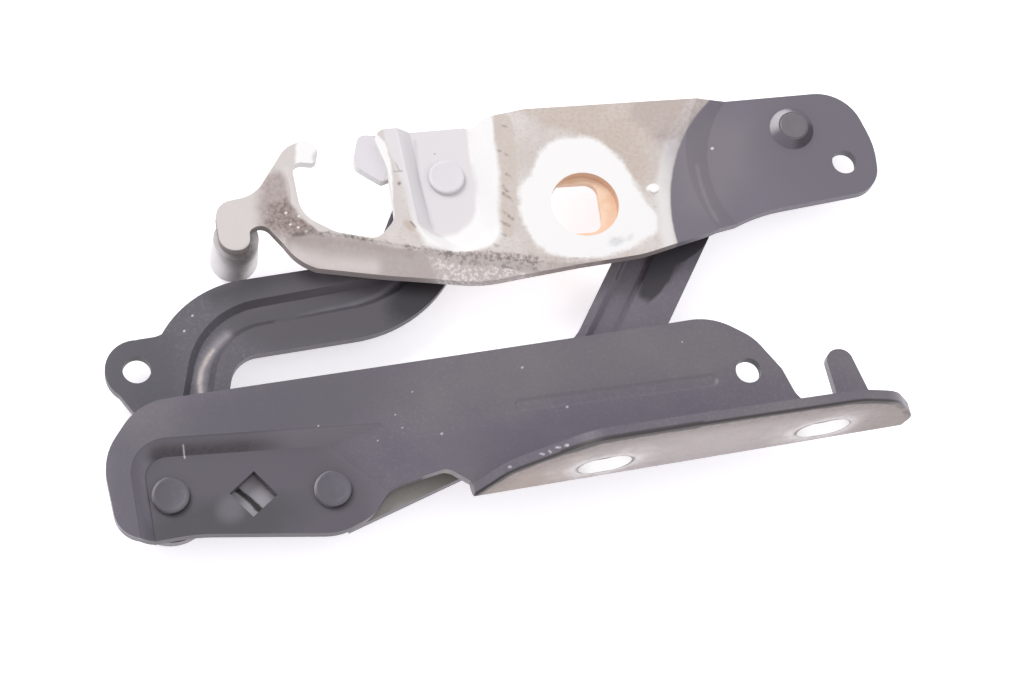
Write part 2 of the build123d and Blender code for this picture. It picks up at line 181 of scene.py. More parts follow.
class Board:
    """The node tree of one material, on Object coordinates."""

    def __init__(self, name: str) -> None:
        """Start a material with only its shader.

        Args:
            name: The material's name.
        """
        self.material = bpy.data.materials.new(name)
        self.material.use_nodes = True
        self.tree = self.material.node_tree
        self.tree.nodes.clear()
        self.shader = self.node("ShaderNodeBsdfPrincipled")
        out = self.node("ShaderNodeOutputMaterial")
        self.tree.links.new(self.shader.outputs[0], out.inputs[0])
        where = self.node("ShaderNodeTexCoord")
        self.place = where.outputs["Object"]
        split = self.node("ShaderNodeSeparateXYZ", None, {0: self.place})
        self.x, self.y, self.z = (Signal(self, split.outputs[i]) * MM_PER_METRE for i in range(3))
        split = self.node("ShaderNodeSeparateXYZ", None, {0: where.outputs["Normal"]})
        self.facing_x, self.facing_y, self.facing_z = (Signal(self, split.outputs[i]) for i in range(3))
        self.faces: dict[Face, Signal] = {}

    def node(self, kind: str, settings: dict | None = None, inputs: dict | None = None) -> bpy.types.Node:
        """Add a node, set it and feed it.

        Args:
            kind: The node's type.
            settings: Its own settings, with a ramp's stops under "stops".
            inputs: Values or links by socket name or number.

        Returns:
            The new node.
        """
        made = self.tree.nodes.new(kind)
        for key, value in (settings or {}).items():
            if key == "stops":
                ramp = made.color_ramp
                while len(ramp.elements) < len(value):
                    ramp.elements.new(0.5)
                for element, (spot, colour) in zip(ramp.elements, value):
                    element.position = spot
                    element.color = (*colour, 1.0)
            else:
                setattr(made, key, value)
        self.feed(made, inputs or {})
        return made

    def feed(self, node: bpy.types.Node, inputs: dict) -> None:
        """Link or set a node's inputs.

        Args:
            node: The node.
            inputs: Values or links by socket name or number.
        """
        for key, value in inputs.items():
            if isinstance(value, Signal):
                value = value.socket
            if isinstance(value, bpy.types.NodeSocket):
                self.tree.links.new(value, node.inputs[key])
            else:
                node.inputs[key].default_value = value

    def on(self, face: Face) -> Signal:
        """Mask of one kind of face, made once for each material.

        Args:
            face: The kind of face, but not any face.

        Returns:
            The mask.
        """
        if face not in self.faces:
            steps = {
                Face.FRONT: (self.facing_z, 0.45, 0.75),
                Face.EDGE: (abs(self.facing_z), 0.55, 0.25),
                Face.CONTACT: (-self.facing_y, 0.80, 0.95),
                Face.WALL: (abs(self.facing_y), 0.60, 0.30),
                Face.SHADED: (-self.facing_y, 0.22, 0.60),
                Face.RIGHTWARD: (self.facing_x, 0.22, 0.60),
                Face.LIT: (self.facing_y - self.facing_x, 0.45, 0.95),
                Face.LEE: (self.facing_x - self.facing_y, 0.45, 0.95),
            }
            signal, low, high = steps[face]
            self.faces[face] = signal.ease(low, high)
        return self.faces[face]

    def noise(self, per_metre: float, detail: float = 3.0, rough: float = 0.55, shift: Triple = (0.0, 0.0, 0.0),
              stretch: Triple = (1.0, 1.0, 1.0)) -> Signal:
        """Fractal noise from about 0.25 to 0.75.

        Args:
            per_metre: Cells in a metre.
            detail: Octaves.
            rough: Weight of the finer octaves.
            shift: Where the pattern is moved to, in metres.
            stretch: How the pattern is scaled along each axis.

        Returns:
            The noise.
        """
        moved = self.node("ShaderNodeMapping", None, {0: self.place, 1: shift, 3: stretch})
        inputs = {"Vector": moved.outputs[0], "Scale": per_metre, "Detail": detail, "Roughness": rough}
        made = self.node("ShaderNodeTexNoise", {"noise_dimensions": "3D"}, inputs)
        return Signal(self, made.outputs[0])

    def dots(self, per_metre: float, size: float, shift: Triple = (0.0, 0.0, 0.0)) -> Signal:
        """Sparse round specks.

        Args:
            per_metre: Cells in a metre.
            size: Radius of a speck as a share of a cell.
            shift: Where the pattern is moved to, in metres.

        Returns:
            A mask of the specks.
        """
        moved = self.node("ShaderNodeMapping", None, {0: self.place, 1: shift})
        made = self.node("ShaderNodeTexVoronoi", {"feature": "F1"}, {"Vector": moved.outputs[0], "Scale": per_metre})
        return Signal(self, made.outputs["Distance"]).ease(size * 1.5, size * 0.5)

    def blend(self, mask: Signal, under: Input, over: Input) -> bpy.types.NodeSocket:
        """Colour that goes from one to another with a mask.

        Args:
            mask: How much of the upper colour shows.
            under: The lower colour.
            over: The upper colour.

        Returns:
            The mixed colour.
        """
        under, over = ((*c, 1.0) if isinstance(c, tuple) else c for c in (under, over))
        settings = {"data_type": "RGBA", "clamp_factor": True}
        return self.node("ShaderNodeMix", settings, {0: mask, 6: under, 7: over}).outputs[2]

    def bump(self, height: Signal, depth_mm: float) -> None:
        """Give the surface a fine relief.

        Args:
            height: The relief, from 0 to 1.
            depth_mm: Its depth in millimetres.
        """
        inputs = {"Height": height, "Distance": depth_mm * MM, "Strength": 1.0}
        made = self.node("ShaderNodeBump", None, inputs)
        self.tree.links.new(made.outputs[0], self.shader.inputs["Normal"])

    def finish(self, colour: bpy.types.NodeSocket, rough: Value, metal: Value = 0.0,
               **fixed: Input) -> bpy.types.Material:
        """Feed the shader.

        Args:
            colour: The base colour.
            rough: The roughness.
            metal: How metallic the surface is.
            fixed: Other shader inputs, the same all over.

        Returns:
            The finished material.
        """
        named = {name.replace("_", " "): value for name, value in fixed.items()}
        self.feed(self.shader, {"Base Color": colour, "Roughness": rough, "Metallic": metal} | named)
        return self.material


@dataclass(frozen=True, kw_only=True)
class Shape:
    """A region of a finish in millimetres of the hinge's frame, seen along Z, or along Y if it is upright."""

    soft: float = 1.2
    ragged: float = 1.0
    strength: float = 1.0
    low: float | None = None
    high: float | None = None
    fade: float = 0.3
    upright: bool = False

    def across(self, board: Board) -> tuple[Signal, Signal]:
        """The two coordinates that the region is drawn in."""
        return board.x, board.z if self.upright else board.y

    def distance(self, board: Board) -> Signal:
        """Distance outside the region's edge, below zero inside it."""
        raise NotImplementedError

    def mask(self, board: Board, wobble: Signal) -> Signal:
        """Mask of the region.

        Args:
            board: The material.
            wobble: Noise that makes the edge ragged.

        Returns:
            The mask, from 0 to the region's strength.
        """
        edge = self.distance(board) + (wobble - 0.5) * (RAGGED_GAIN * self.ragged)
        mask = edge.ease(self.soft / 2, -self.soft / 2, 0.0, self.strength)
        depth = board.y if self.upright else board.z
        if self.low is not None:
            mask = mask * depth.ease(self.low - self.fade, self.low + self.fade)
        if self.high is not None:
            mask = mask * depth.ease(self.high + self.fade, self.high - self.fade)
        return mask


@dataclass(frozen=True)
class Oval(Shape):
    """An oval, turned in degrees, with a depth along Z as its third radius."""

    centre: Triple
    radii: Triple
    turn: float = 0.0

    def distance(self, board: Board) -> Signal:
        """Distance outside the oval, roughly."""
        inputs = {
            0: board.place,
            1: tuple(MM * v for v in self.centre),
            2: (0.0, 0.0, math.radians(self.turn)),
            3: tuple(MM * v for v in self.radii),
        }
        local = board.node("ShaderNodeMapping", {"vector_type": "TEXTURE"}, inputs)
        far = board.node("ShaderNodeVectorMath", {"operation": "LENGTH"}, {0: local.outputs[0]})
        return (Signal(board, far.outputs["Value"]) - 1.0) * min(self.radii[:2])


@dataclass(frozen=True)
class Outline(Shape):
    """A closed outline through points, all of it in sight from its middle."""

    points: tuple[Point, ...]
    rays: int = 31

    def middle(self) -> Point:
        """Mean of the points."""
        return sum(x for x, _ in self.points) / len(self.points), sum(y for _, y in self.points) / len(self.points)

    def reach(self, angle: float) -> float:
        """How far the outline lies from the middle in one direction.

        Args:
            angle: The direction in radians.

        Returns:
            The distance in millimetres.
        """
        mid_x, mid_y = self.middle()
        along = Vector((math.cos(angle), math.sin(angle)))
        found = 0.0
        for (ax, ay), (bx, by) in zip(self.points, (*self.points[1:], self.points[0])):
            start = Vector((ax - mid_x, ay - mid_y))
            side = Vector((bx - ax, by - ay))
            cross = along.x * side.y - along.y * side.x
            if abs(cross) > PARALLEL:
                far = (start.x * side.y - start.y * side.x) / cross
                share = (start.x * along.y - start.y * along.x) / cross
                if far > 0.0 and -TINY <= share <= 1.0 + TINY:
                    found = max(found, far)
        return found

    def distance(self, board: Board) -> Signal:
        """Distance outside the outline along the ray from its middle."""
        mid_x, mid_y = self.middle()
        spots = [i / (self.rays - 1) for i in range(self.rays)]
        reaches = [self.reach(math.tau * (spot - 0.5)) for spot in spots]
        most = max(reaches)
        u, v = self.across(board)
        x, y = u - mid_x, v - mid_y
        share = x.angle_to(y) / math.tau + 0.5
        stops = [(spot, (reach / most,) * 3) for spot, reach in zip(spots, reaches)]
        ramp = board.node("ShaderNodeValToRGB", {"stops": stops}, {0: share})
        return (x * x + y * y) ** 0.5 - Signal(board, ramp.outputs[0]) * most


@dataclass(frozen=True)
class Ring(Shape):
    """Everything inside a circle, or a band just outside it."""

    centre: Point
    radius: float
    band: float = 0.0

    def distance(self, board: Board) -> Signal:
        """Distance outside the circle or the band."""
        x, y = board.x - self.centre[0], board.y - self.centre[1]
        far = (x * x + y * y) ** 0.5
        if not self.band:
            return far - self.radius
        return abs(far - (self.radius + self.band / 2)) - self.band / 2


@dataclass(frozen=True)
class Stroke(Shape):
    """Lines of one width, each through its own points."""

    lines: tuple[tuple[Point, ...], ...]
    width: float

    def distance(self, board: Board) -> Signal:
        """Distance outside the nearest line."""
        u, v = self.across(board)
        nearest = None
        for (ax, ay), (bx, by) in (pair for line in self.lines for pair in zip(line, line[1:])):
            length = math.hypot(bx - ax, by - ay)
            along_x, along_y = (bx - ax) / length, (by - ay) / length
            x, y = u - ax, v - ay
            along = (x * along_x + y * along_y).either(0.0).both(length)
            off_x, off_y = x - along * along_x, y - along * along_y
            far = (off_x * off_x + off_y * off_y) ** 0.5
            nearest = far if nearest is None else nearest.both(far)
        return nearest - self.width / 2


def area(*points: Point, **look: float) -> Outline:
    """The inside of a closed outline.

    Args:
        points: The outline's corners.
        look: How its edge and depth look.

    Returns:
        The region.
    """
    return Outline(points, **look)


def line(*points: Point, width: float, **look: float) -> Stroke:
    """One line through points.

    Args:
        points: Where the line runs.
        width: Its width in millimetres.
        look: How its edge and depth look.

    Returns:
        The region.
    """
    return Stroke((points,), width, **look)


def marks(*points: Point, width: float = 0.7, strength: float = 0.9) -> Stroke:
    """Small specks at points.

    Args:
        points: Where the specks are.
        width: Their size in millimetres.
        strength: How much they cover.

    Returns:
        The specks as one region.
    """
    lines = tuple(((x, y), (x + 0.2, y + 0.1)) for x, y in points)
    return Stroke(lines, width, soft=0.4, ragged=0.05, strength=strength)


@dataclass(frozen=True)
class Tint:
    """One layer of colour over a region, either an even film or broken up by grain."""

    shape: Shape
    colour: Colour
    grain: float = 0.0
    face: Face = Face.ANY
    rough: float = 0.0


@dataclass(frozen=True)
class Coat:
    """A painted or dipped surface: two cloudy colours, fine dust, cut edges, specks and tints."""

    name: str
    colour: Colour
    other: Colour
    edge: Colour
    dust: Colour
    roughness: float = 0.45
    clouds: float = 28.0
    dusty: float = 0.3
    edge_shows: float = 0.7
    speck_size: float = 0.0
    relief_mm: float = 0.035
    specular: float = 0.5
    tints: tuple[Tint, ...] = ()

    def build(self) -> bpy.types.Material:
        """Make the material.

        Returns:
            The finished material.
        """
        board = Board(self.name)
        cloud = board.noise(self.clouds, 4.0, 0.6)
        fine = board.noise(DUST_CELLS, 3.0, 0.65)
        grit = board.noise(GRIT_CELLS, 4.0, 0.75, (0.0, 0.4, 0.0))
        wobble = board.noise(WOBBLE_CELLS, 5.0, 0.65, (0.3, 0.1, 0.0))
        colour = board.blend(cloud.ease(0.36, 0.66), self.colour, self.other)
        colour = board.blend(fine.ease(0.48, 0.74) * self.dusty, colour, self.dust)
        if self.speck_size:
            specks = board.dots(130.0, self.speck_size).both(cloud.ease(0.44, 0.58))
            colour = board.blend(specks * 0.8, colour, self.dust)
        if self.edge_shows:
            colour = board.blend(board.on(Face.EDGE) * self.edge_shows, colour, self.edge)
        rough = cloud * 0.14 + fine * 0.08 + (self.roughness - 0.11)
        broken = grit.ease(0.43, 0.60)
        for tint in self.tints:
            mask = tint.shape.mask(board, wobble)
            if tint.face is not Face.ANY:
                mask = mask * board.on(tint.face)
            if tint.grain:
                mask = mask * (broken * tint.grain + (1.0 - tint.grain))
            colour = board.blend(mask, colour, tint.colour)
            if tint.rough:
                rough = rough + mask * tint.rough
        board.bump(grit * 0.45 + fine * 0.55, self.relief_mm)
        return board.finish(colour, rough, 0.0, Specular_IOR_Level=self.specular)


@dataclass(frozen=True)
class Plated:
    """Bare or plated metal with a cloudy sheen."""

    name: str
    colour: Colour
    other: Colour
    roughness: float
    metal: float = 0.9
    per_metre: float = 120.0
    relief_mm: float = 0.02

    def build(self) -> bpy.types.Material:
        """Make the material.

        Returns:
            The finished material.
        """
        board = Board(self.name)
        cloud = board.noise(self.per_metre, 4.0, 0.6)
        fine = board.noise(self.per_metre * 9.0, 3.0, 0.6)
        colour = board.blend(cloud.ease(0.38, 0.66), self.colour, self.other)
        board.bump(fine, self.relief_mm)
        return board.finish(colour, cloud * 0.12 + (self.roughness - 0.06), self.metal)


@dataclass
class Studio:
    """Floor, soft lights and the camera of the photograph."""

    floor_z: float
    floor_side: float = 6.0
    floor_colour: Colour = (0.86, 0.845, 0.875)
    floor_other: Colour = (0.86, 0.86, 0.87)
    floor_glow: float = 0.62
    camera_at: Triple = (-0.22947, -0.34843, 0.86070)
    looks_at: Triple = (-0.03568, -0.04489, 0.0)
    camera_up: Triple = (0.15072, 0.92116, 0.35880)
    lens: float = 98.4375
    sensor_width: float = 36.0
    sky_colour: Colour = (1.0, 0.99, 1.0)
    world_light: float = 0.72
    lamps: tuple[tuple[str, Triple, float, float], ...] = (
        ("key_lamp", (-0.75, 0.95, 1.35), 0.9, 18.0),
        ("fill_lamp", (0.9, -0.5, 1.2), 1.2, 4.0),
    )

    def build(self) -> None:
        """Place the floor, the lights and the camera."""
        self._floor()
        self._world()
        for name, at, side, power in self.lamps:
            self._lamp(name, at, side, power)
        self._camera()

    def _floor(self) -> None:
        """Lay the pale floor under the lowest point of the hinge."""
        deselect()
        bpy.ops.mesh.primitive_plane_add(size=self.floor_side, location=(0.0, 0.0, self.floor_z))
        floor = bpy.context.object
        floor.name = "floor"
        board = Board("floor_paper")
        cloud = board.noise(3.0, 2.0, 0.5)
        colour = board.blend(cloud.ease(0.3, 0.7), self.floor_colour, self.floor_other)
        glow = {"Emission_Color": (*self.floor_colour, 1.0), "Emission_Strength": self.floor_glow}
        floor.data.materials.append(board.finish(colour, 0.9, **glow))
        floor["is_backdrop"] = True

    def _world(self) -> None:
        """Light everything evenly from all around."""
        world = bpy.data.worlds.new("studio")
        bpy.context.scene.world = world
        world.use_nodes = True
        sky = world.node_tree.nodes["Background"]
        sky.inputs[0].default_value = (*self.sky_colour, 1.0)
        sky.inputs[1].default_value = self.world_light

    def _lamp(self, name: str, at: Triple, side: float, power: float) -> None:
        """Add one square lamp aimed at the hinge.

        Args:
            name: The lamp's name.
            at: Where it stands, in metres.
            side: Its side in metres.
            power: Its power in watts.
        """
        data = bpy.data.lights.new(name, "AREA")
        data.size = side
        data.energy = power
        lamp = bpy.data.objects.new(name, data)
        bpy.context.scene.collection.objects.link(lamp)
        lamp.location = at
        aim = Vector(self.looks_at) - Vector(at)
        lamp.rotation_euler = aim.to_track_quat("-Z", "Y").to_euler()

    def _camera(self) -> None:
        """Stand the camera where the photograph was taken."""
        data = bpy.data.cameras.new("camera")
        data.lens = self.lens
        data.sensor_width = self.sensor_width
        data.clip_start = 0.01
        camera = bpy.data.objects.new("camera", data)
        bpy.context.scene.collection.objects.link(camera)
        back = (Vector(self.camera_at) - Vector(self.looks_at)).normalized()
        right = Vector(self.camera_up).cross(back).normalized()
        up = back.cross(right)
        turn = Matrix((right, up, back)).transposed().to_4x4()
        camera.matrix_world = Matrix.Translation(self.camera_at) @ turn
        bpy.context.scene.camera = camera
        bpy.context.scene.view_settings.view_transform = "Standard"


def deselect() -> None:
    """Leave nothing selected before a new piece is made."""
    if bpy.context.object and bpy.context.object.mode != "OBJECT":
        bpy.ops.object.mode_set(mode="OBJECT")
    bpy.ops.object.select_all(action="DESELECT")


def choose(piece: bpy.types.Object) -> None:
    """Leave one piece alone selected and active.

    Args:
        piece: The piece.
    """
    deselect()
    piece.select_set(True)
    bpy.context.view_layer.objects.active = piece


def dress(node: str, material: bpy.types.Material) -> None:
    """Give a carried-over part its finish.

    Args:
        node: The part's name.
        material: Its finish.
    """
    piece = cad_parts[node]
    for slot in piece.material_slots:
        slot.material = material
    if not piece.material_slots:
        piece.data.materials.append(material)
    log.info("dressed %s with %s", node, material.name)


# Places in the hinge's frame, in millimetres
BODY_BOLT = (0.0, 0.0)
SWAN_BODY = (-44.2, 18.7)
CHANNEL_BODY = (80.6, 18.8)
SWAN_BONNET = (-155.9, -77.7)
CHANNEL_BONNET = (-103.9, -84.4)
SQUARE_HOLE = (-129.5, -81.3)
FLANGE_Y = -96.1
# The circle that bounds the dark right-hand end of the body bracket
DARK_END = (89.5, -16.5)
DARK_END_R = 61.2
# The paint's own colours, from the brightest overspray to the dark dip coat under it
WHITE = (0.80, 0.79, 0.79)
PALE = (0.66, 0.63, 0.645)
BEIGE = (0.555, 0.500, 0.475)
BROWN = (0.470, 0.385, 0.325)
DIRT = (0.300, 0.255, 0.245)
CRUST = (0.190, 0.155, 0.148)
LIP = (0.425, 0.372, 0.362)
DIP = (0.122, 0.107, 0.138)
# Painted shade for the walls of small holes, darker than any coat
HOLE_WALL_SHADE = (0.045, 0.040, 0.048)
# Outline of the bare print that the body bolt's washer left
WASHER_PRINT = (
    (-11.1, 22.9), (-1.5, 25.9), (7.4, 24.3), (13.2, 18.5), (16.9, 12.6), (19.1, 3.9), (21.1, -2.5), (24.4, -9.8),
    (22.0, -14.0), (14.6, -18.0), (4.3, -20.2), (-5.7, -20.4), (-14.9, -17.1), (-20.0, -11.8), (-22.6, -4.7),
    (-22.7, 2.8), (-20.7, 10.0), (-16.5, 13.1), (-13.3, 17.9),
)


BODY_TINTS = (
    # Lug and arm: even pale film, then smooth grime over the neck
    Tint(area((-130.0, 24.0), (-108.0, 20.0), (-100.0, 36.0), (-88.0, 38.0), (-66.0, 38.0), (-60.0, 30.0), (-62.0, 2.0),
        (-80.0, 0.0), (-101.0, 4.0), (-130.0, -2.0), low=-0.6, soft=3.0, ragged=2.0), (0.575, 0.535, 0.52), 0.2),
    Tint(area((-108.0, 24.0), (-103.0, 29.0), (-98.0, 25.0), (-99.5, 14.0), (-95.5, 6.1), (-88.0, 2.5), (-86.0, -0.5),
        (-101.9, 1.0), (-110.0, 5.0), (-111.0, 15.0), soft=5.0, ragged=1.6, strength=0.95), (0.33, 0.27, 0.26), 0.25,
        Face.FRONT),
    Tint(area((-106.0, 16.0), (-100.0, 18.0), (-97.0, 10.0), (-92.0, 4.0), (-100.0, 3.0), (-108.0, 9.0), soft=3.0,
        ragged=2.0, strength=0.9), (0.19, 0.145, 0.13), 0.6, Face.FRONT),
    Tint(line((-98.5, 28.0), (-98.6, 17.0), (-94.0, 8.0), width=1.8, soft=2.0, strength=0.6), (0.64, 0.6, 0.595), 0.4,
        Face.FRONT),
    Tint(marks((-100.8, 8.0), (-98.4, 6.6), (-101.5, 12.4), (-96.0, 4.9), (-97.4, 10.6), width=0.8),
        (0.72, 0.68, 0.66)),
    Tint(line((-124.5, 1.2), (-119.0, 0.4), (-114.5, 3.0), width=1.6, soft=2.5, ragged=0.4, strength=0.6), DIRT),
    # Stains along the top edge and the scratched column
    Tint(area((-18.0, 41.0), (10.0, 41.0), (32.0, 40.0), (55.0, 38.0), (44.0, 22.0), (31.0, 20.0), (27.0, 8.7),
        (24.0, -1.0), (16.0, 6.0), (8.0, 18.0), (2.0, 27.0), (-8.0, 31.0), soft=14.0, ragged=5.0, strength=0.75), BROWN,
        0.45, Face.FRONT),
    Tint(area((-25.5, 40.0), (-18.5, 40.0), (-19.0, 23.3), (-22.3, 8.6), (-26.8, -8.1), (-33.5, -12.0), (-30.0, 2.4),
        (-26.3, 16.9), (-25.9, 28.2), soft=2.6, ragged=0.8, strength=0.85), (0.53, 0.455, 0.41), 0.35, Face.FRONT),
    Tint(Stroke(lines=(((-22.5, 33.8), (-20.7, 32.4)), ((-26.4, 24.5), (-24.7, 23.9)), ((-23.3, 22.5), (-22.1, 21.6)),
        ((-26.5, 10.9), (-25.6, 8.9)), ((-27.1, 8.3), (-25.7, 6.6), (-24.3, 4.9)), ((-28.8, 2.2), (-28.0, 1.2)),
        ((-26.9, -0.3), (-25.8, -1.6)), ((-30.3, -1.6), (-27.7, -3.9)), ((-31.9, -5.5), (-29.8, -7.2)), ((-34.2, -9.6),
        (-33.3, -10.5)), ((-24.4, 15.0), (-23.2, 14.0))), width=0.7, soft=1.0, ragged=0.8), (0.31, 0.25, 0.23), 0.5,
        Face.FRONT),
    # White: the print of the body bolt's washer, the right half of the pocket and the rims
    Tint(area(*WASHER_PRINT, soft=2.4, ragged=1.3), WHITE, 0.0, Face.FRONT),
    Tint(area((-54.5, 42.0), (-24.8, 42.0), (-26.0, 28.0), (-26.4, 17.0), (-29.8, 2.4), (-31.5, -9.0), (-40.0, -11.0),
        (-49.4, -10.2), (-57.2, -6.0), (-59.6, 3.6), (-58.0, 20.0), soft=3.0, ragged=0.6), WHITE),
    Tint(area((-64.0, 42.0), (-33.2, 42.0), (-34.6, 24.3), (-34.3, 14.3), (-37.5, 2.7), (-45.1, -2.2), (-52.0, -2.6),
        (-58.5, 1.6), (-60.0, 14.0), soft=2.4, ragged=0.4), PALE),
    Tint(line((-57.3, 36.0), (-57.6, 20.0), (-56.4, 3.0), width=2.2, soft=2.4, ragged=0.2, strength=0.8),
        (0.7, 0.69, 0.715)),
    # Painted shade: a darker line in the pocket's left wall
    Tint(line((-52.0, 34.0), (-53.9, 19.6), (-52.6, 1.5), width=0.8, soft=2.2, ragged=0.15, strength=0.5),
        (0.42, 0.41, 0.47)),
    Tint(area((-89.8, 37.0), (-86.6, 33.6), (-87.3, 31.1), (-91.3, 29.1), (-94.0, 25.8), (-95.4, 18.5), (-94.4, 13.2),
        (-87.4, 6.9), (-79.8, 3.5), (-73.5, 0.7), (-69.8, 1.2), (-66.6, 5.2), (-64.3, 13.8), (-62.7, 24.0),
        (-63.3, 33.2), (-66.1, 37.7), (-72.4, 38.2), (-75.3, 28.9), soft=1.0, ragged=0.3, low=-2.9), WHITE),
    # The horn: white paint, with painted highlight where its edge rolls over
    Tint(area((-93.2, 37.5), (-94.8, 29.5), (-93.0, 25.5), (-84.5, 27.5), (-83.5, 35.0), (-88.0, 39.5), soft=1.4,
        ragged=0.5, low=-4.5), WHITE),
    # Painted shade on the end of the horn's tip
    Tint(Oval((-86.9, 31.2, 0.0), (1.6, 2.6, 3.0), turn=-25.0, soft=1.4, ragged=0.3, strength=0.55),
        (0.42, 0.38, 0.37)),
    Tint(area((-98.5, 30.0), (-64.0, 42.0), (-62.0, 24.0), (-65.0, 2.0), (-72.0, -3.4), (-97.8, 5.0), (-100.0, 14.0),
        soft=0.4, ragged=0.0, low=-9.5), WHITE, 0.0, Face.EDGE),
    Tint(Oval((-70.0, 29.0, -3.2), (6.4, 10.5, 2.0), soft=0.6, ragged=0.1), (0.645, 0.62, 0.65), 0.0, Face.FRONT),
    # Lower lip: brown film, dark ridge line, white and brown crust, paler rim
    Tint(area((-112.0, 6.0), (-103.5, 2.4), (-97.8, 5.2), (-82.0, 0.0), (-59.0, -8.2), (-40.0, -12.6), (-20.0, -18.6),
        (-20.0, -28.0), (-60.0, -28.0), (-112.0, -20.0), soft=1.0, ragged=0.7, high=-0.35), LIP, 0.15),
    Tint(line((-101.0, -2.5), (-90.0, -6.8), (-76.0, -10.2), width=5.0, soft=5.0, ragged=0.6, strength=0.9, high=-0.35),
        (0.62, 0.57, 0.555), 0.1, Face.FRONT),
    Tint(line((-99.0, 3.0), (-81.0, -1.6), (-62.0, -8.6), width=2.6, soft=3.0, ragged=0.8, strength=0.6, high=-0.2),
        (0.355, 0.292, 0.282), 0.3, Face.FRONT),
    Tint(line((-106.4, 4.0), (-94.8, 4.6), (-81.8, 0.6), (-59.0, -7.4), (-42.9, -12.0), (-20.0, -18.4), width=0.9,
        soft=1.4, ragged=1.2), CRUST, 0.7),
    Tint(area((-58.0, -6.6), (-42.8, -9.8), (-26.6, -14.6), (-8.0, -19.0), (12.0, -20.6), (22.0, -24.0), (-8.0, -26.0),
        (-54.5, -26.0), soft=4.0, ragged=2.0, strength=0.9), (0.44, 0.37, 0.35), 0.6),
    Tint(area((-56.0, -10.0), (-42.8, -12.5), (-28.0, -17.0), (-20.0, -21.0), (-44.5, -22.0), (-55.5, -20.0), soft=4.0,
        ragged=2.0), (0.72, 0.68, 0.665), 0.85),
    Tint(area((-60.0, -8.0), (-46.0, -10.0), (-36.0, -12.0), (-18.0, -17.6), (-22.0, -21.0), (-46.0, -15.0), soft=3.0,
        ragged=3.0, strength=0.8), CRUST, 0.97),
    # Small marks
    Tint(Stroke(lines=(((-61.2, 25.0), (-60.4, 21.6)), ((-62.4, 21.9), (-59.6, 21.6))), width=0.3, soft=0.6,
        ragged=0.15), DIRT, 0.2),
    Tint(Oval((-61.5, 17.2, 0.0), (0.8, 0.6, 3.0), turn=40.0, soft=0.7, ragged=0.3, strength=0.8), CRUST),
    Tint(marks((-46.3, 28.3), width=0.6, strength=0.6), DIRT),
    Tint(Oval((-61.3, 1.4, 0.0), (2.2, 1.2, 6.0), turn=-60.0, soft=1.4, ragged=0.6, strength=0.7), BROWN),
    Tint(line((-60.5, 2.8), (-59.3, 0.6), width=0.5, soft=0.8, ragged=0.3, strength=0.8), CRUST),
    Tint(Ring(DARK_END, DARK_END_R, band=5.0, soft=3.0, strength=0.9), (0.7, 0.675, 0.67), 0.0, Face.FRONT),
    Tint(area((22.0, 30.0), (36.0, 44.0), (60.0, 44.0), (56.0, 30.0), (40.0, 17.5), (30.0, 20.0), soft=5.0, ragged=1.5,
        strength=0.9), (0.43, 0.365, 0.345), 0.3, Face.FRONT),
    Tint(Oval((24.8, 2.2, 0.0), (2.1, 1.5, 3.0), soft=0.8, ragged=0.4), (0.84, 0.83, 0.83), 0.0, Face.FRONT),
    Tint(line((23.2, 1.4), (24.6, 0.1), (26.2, 0.6), width=0.4, soft=0.8, ragged=0.1, strength=0.6), DIRT),
    Tint(Oval((7.8, -15.1, 0.0), (2.6, 1.5, 3.0), turn=12.0, soft=1.6, ragged=0.7, strength=0.6), (0.46, 0.47, 0.5),
        0.4),
    Tint(Oval((12.6, -14.6, 0.0), (1.4, 0.9, 3.0), turn=30.0, ragged=0.5, strength=0.5), (0.46, 0.47, 0.5), 0.4),
    # The right-hand end in its dark dip coat
    Tint(Ring(DARK_END, DARK_END_R, soft=0.9, ragged=0.2), (0.163, 0.149, 0.18), 0.0, Face.ANY, -0.28),
    Tint(area((33.0, 18.0), (50.0, 27.0), (66.0, 24.0), (60.0, 4.0), (44.0, -10.0), (33.0, -8.0), soft=16.0, ragged=2.0,
        strength=0.6), (0.215, 0.188, 0.215)),
    Tint(Ring((104.0, 10.0), 34.0, soft=26.0, strength=0.5), (0.13, 0.119, 0.14)),
    Tint(line((42.9, 9.0), (42.4, 1.4), (43.0, -5.9), (44.6, -12.6), width=0.7, soft=2.2, ragged=0.5, strength=0.45),
        (0.33, 0.3, 0.31)),
    Tint(marks((50.5, 15.7), width=1.0), (0.62, 0.59, 0.6)),
    # Painted highlight on the collar's slopes that face the lamp, painted shade on those that face away
    Tint(Ring(CHANNEL_BODY, 8.1, soft=0.8, ragged=0.1, low=-4.9), (0.46, 0.45, 0.47), 0.0, Face.LIT, -0.05),
    Tint(Ring(CHANNEL_BODY, 8.1, soft=0.8, ragged=0.1, low=-4.9), (0.065, 0.058, 0.072), 0.0, Face.LEE),
    Tint(Ring(BODY_BOLT, 12.2, soft=0.4, ragged=0.0), (0.74, 0.5, 0.36), 0.0, Face.EDGE),
)
# Painted light on the sleeve: its lit left side made pale, and its right side, in the lug's shadow, lightened
SLEEVE_PAINTED_LIGHT = (
    Tint(Oval((-129.5, 8.5, -16.0), (9.5, 12.0, 16.0), soft=7.0, ragged=0.8), (0.7, 0.67, 0.68)),
    Tint(Oval((-111.0, 6.0, -18.0), (6.5, 10.0, 13.0), soft=6.0, ragged=0.8), (1.0, 0.98, 0.97)),
)


